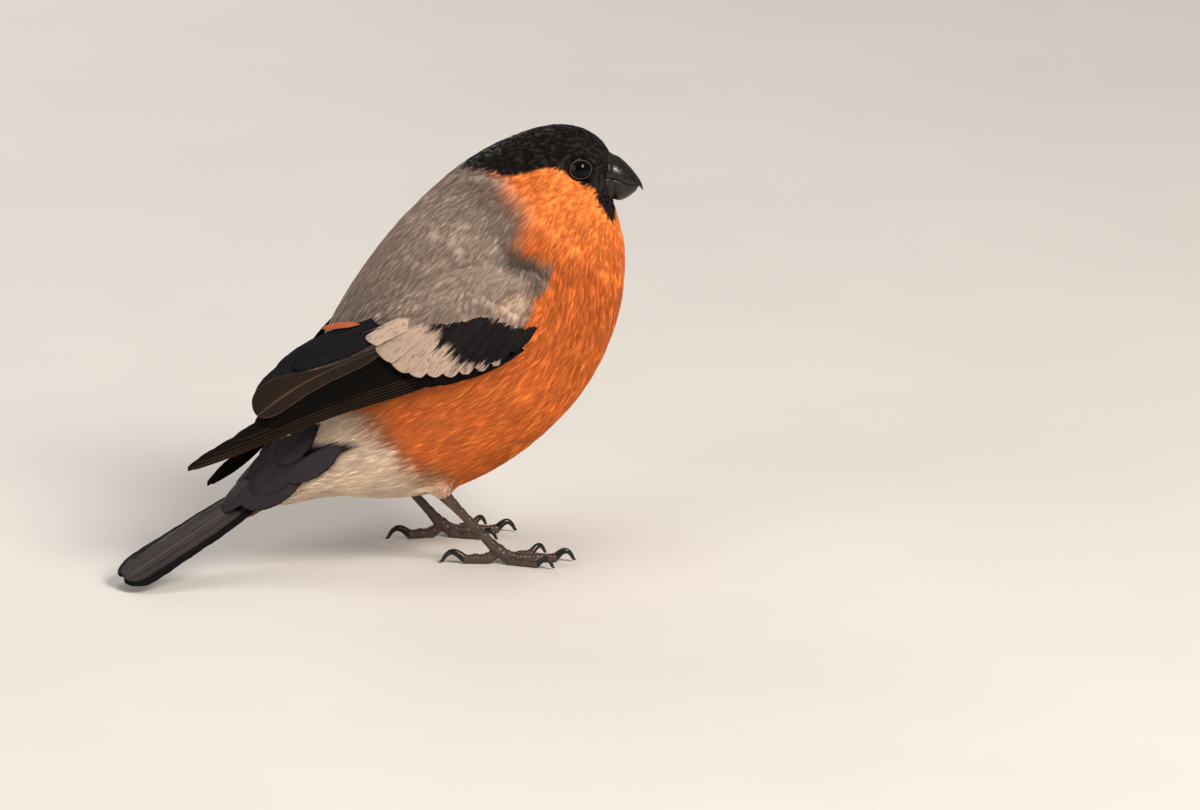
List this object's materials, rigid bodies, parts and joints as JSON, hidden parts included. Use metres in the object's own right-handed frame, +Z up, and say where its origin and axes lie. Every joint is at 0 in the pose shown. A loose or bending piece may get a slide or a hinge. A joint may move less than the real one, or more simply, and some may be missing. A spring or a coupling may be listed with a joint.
{
  "type": "bullfinch",
  "caption": "Small plump songbird standing with folded wings and its head turned, a still life-size model.",
  "frame": {"origin": "on the floor under the middle of the bird's box", "axes": "+X the way the body faces, +Y its left side, +Z up"},
  "size_m": [0.1162, 0.0544, 0.0917],
  "materials": {
    "black_plumage": "close glossy black feathers of the cap and face",
    "orange_plumage": "soft orange-red body feathers with fine hair-like barbs",
    "grey_plumage": "soft ash-grey feathers of the nape, back and shoulder",
    "white_plumage": "soft white and cream feathers of rump, vent and wing bar",
    "flight_feathers": "blue-black vanes with a satin gloss and a fine shaft",
    "horn": "smooth black horn of bill and claws with dull worn patches",
    "eye": "very dark brown polished eye",
    "bare_skin": "thin grey rim of bare skin",
    "scaly_leg": "dark brown scaly skin in small plates"
  },
  "bodies": {
    "root": {"head": "black_plumage", "neck": "orange_plumage", "torso": "orange_plumage", "rump": "white_plumage", "bill_upper": "horn", "bill_lower": "horn", "tail": "flight_feathers", "eye_right": "eye", "eyelid_right": "bare_skin", "wing_right": "flight_feathers", "foot_right": "scaly_leg", "shank_right": "scaly_leg", "thigh_right": "orange_plumage", "claw_inner_right": "horn", "claw_middle_right": "horn", "claw_outer_right": "horn", "claw_hind_right": "horn", "eye_left": "eye", "eyelid_left": "bare_skin", "wing_left": "flight_feathers", "foot_left": "scaly_leg", "shank_left": "scaly_leg", "thigh_left": "orange_plumage", "claw_inner_left": "horn", "claw_middle_left": "horn", "claw_outer_left": "horn", "claw_hind_left": "horn"}
  },
  "joints": []
}
